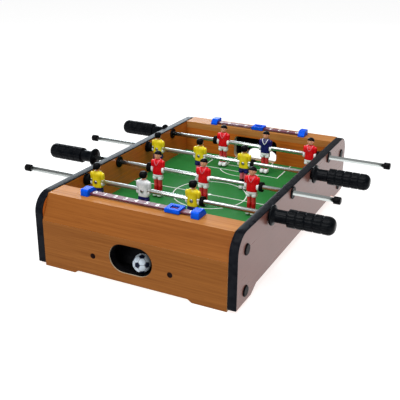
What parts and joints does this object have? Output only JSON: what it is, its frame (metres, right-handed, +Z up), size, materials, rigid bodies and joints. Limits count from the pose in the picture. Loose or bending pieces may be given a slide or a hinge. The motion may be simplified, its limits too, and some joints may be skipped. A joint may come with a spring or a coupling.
{
  "type": "tabletop foosball table",
  "caption": "Tabletop foosball table with wood-grain boards, a green pitch, sliding and spinning rods of players, ribbed handles, goal slots, score counters and a ball.",
  "frame": {"origin": "centre of the table on the plane its feet stand on", "axes": "+Z up, +X along the rods to the right of someone facing the pitch from the front end, +Y along the pitch from the front end to the rear end"},
  "size_m": [0.5339, 0.494, 0.126],
  "materials": {
    "walnut_laminate": "semi-gloss printed wood grain",
    "end_laminate": "semi-gloss printed wood grain",
    "raw_wood": "bare",
    "edge_band_plastic": "satin",
    "pitch": "smooth printed",
    "black_plastic": "satin",
    "black_rubber": "matt",
    "chrome_tube": "polished",
    "black_screw": "satin black",
    "bright_screw": "bright",
    "red_kit": "painted",
    "navy_kit": "painted",
    "yellow_kit": "painted",
    "white_kit": "painted",
    "blue_plastic": "gloss",
    "strip_plastic": "satin",
    "ball_plastic": "satin"
  },
  "bodies": {
    "table": {"side_board_left": "walnut_laminate", "edge_band_left": "edge_band_plastic", "side_board_right": "walnut_laminate", "edge_band_right": "edge_band_plastic", "front_end_board": "end_laminate", "front_slope_board": "end_laminate", "front_top_board": "end_laminate", "front_goal_wall": "walnut_laminate", "front_goal_box": "black_plastic", "front_score_strip": "strip_plastic", "rear_end_board": "end_laminate", "rear_slope_board": "end_laminate", "rear_top_board": "end_laminate", "rear_goal_wall": "walnut_laminate", "rear_goal_box": "black_plastic", "rear_score_strip": "strip_plastic", "playfield": "pitch", "corner_blocks": "raw_wood", "slot_linings": "black_plastic", "goal_box_screws": "black_screw", "side_bolts": "black_screw", "bushings": "black_plastic", "bushing_rings": "black_plastic", "score_brackets": "blue_plastic"},
    "bumper_pair_1": {"bumpers_1": "black_rubber"},
    "rod_assembly_1": {"rod_1": "chrome_tube", "handle_1": "black_plastic", "end_cap_1": "black_plastic", "player_screws_1": "bright_screw", "player_1_left": "red_kit", "player_1_middle": "navy_kit", "player_1_right": "red_kit"},
    "bumper_pair_2": {"bumpers_2": "black_rubber"},
    "rod_assembly_2": {"rod_2": "chrome_tube", "handle_2": "black_plastic", "end_cap_2": "black_plastic", "player_screws_2": "bright_screw", "player_2_left": "yellow_kit", "player_2_middle": "yellow_kit", "player_2_right": "yellow_kit"},
    "bumper_pair_3": {"bumpers_3": "black_rubber"},
    "rod_assembly_3": {"rod_3": "chrome_tube", "handle_3": "black_plastic", "end_cap_3": "black_plastic", "player_screws_3": "bright_screw", "player_3_left": "red_kit", "player_3_middle": "red_kit", "player_3_right": "red_kit"},
    "bumper_pair_4": {"bumpers_4": "black_rubber"},
    "rod_assembly_4": {"rod_4": "chrome_tube", "handle_4": "black_plastic", "end_cap_4": "black_plastic", "player_screws_4": "bright_screw", "player_4_left": "yellow_kit", "player_4_middle": "white_kit", "player_4_right": "yellow_kit"},
    "front_marker": {"front_score_marker": "blue_plastic"},
    "rear_marker": {"rear_score_marker": "blue_plastic"},
    "ball": {"ball": "ball_plastic"}
  },
  "joints": [
    {"name": "rod_1_slide", "type": "slide", "parent": "table", "child": "bumper_pair_1", "axis": [1, 0, 0], "range_m": [-0.0834, 0]},
    {"name": "rod_1_spin", "type": "hinge", "parent": "bumper_pair_1", "child": "rod_assembly_1", "pos_m": [0.0417, 0.138, 0.0965], "axis": [1, 0, 0], "continuous": true},
    {"name": "rod_2_slide", "type": "slide", "parent": "table", "child": "bumper_pair_2", "axis": [1, 0, 0], "range_m": [-0.00125, 0.08215]},
    {"name": "rod_2_spin", "type": "hinge", "parent": "bumper_pair_2", "child": "rod_assembly_2", "pos_m": [-0.04045, 0.046, 0.0965], "axis": [1, 0, 0], "continuous": true},
    {"name": "rod_3_slide", "type": "slide", "parent": "table", "child": "bumper_pair_3", "axis": [1, 0, 0], "range_m": [-0.05254, 0.03086]},
    {"name": "rod_3_spin", "type": "hinge", "parent": "bumper_pair_3", "child": "rod_assembly_3", "pos_m": [0.01084, -0.046, 0.0965], "axis": [1, 0, 0], "continuous": true},
    {"name": "rod_4_slide", "type": "slide", "parent": "table", "child": "bumper_pair_4", "axis": [1, 0, 0], "range_m": [0, 0.0834]},
    {"name": "rod_4_spin", "type": "hinge", "parent": "bumper_pair_4", "child": "rod_assembly_4", "pos_m": [-0.0417, -0.138, 0.0965], "axis": [1, 0, 0], "continuous": true},
    {"name": "front_marker_slide", "type": "slide", "parent": "table", "child": "front_marker", "axis": [1, 0, 0], "range_m": [-0.1194, 0.0174]},
    {"name": "rear_marker_slide", "type": "slide", "parent": "table", "child": "rear_marker", "axis": [1, 0, 0], "range_m": [-0.0694, 0.0674]},
    {"name": "ball_out", "type": "slide", "parent": "table", "child": "ball", "axis": [0, -1, 0], "range_m": [0, 0.04]}
  ]
}
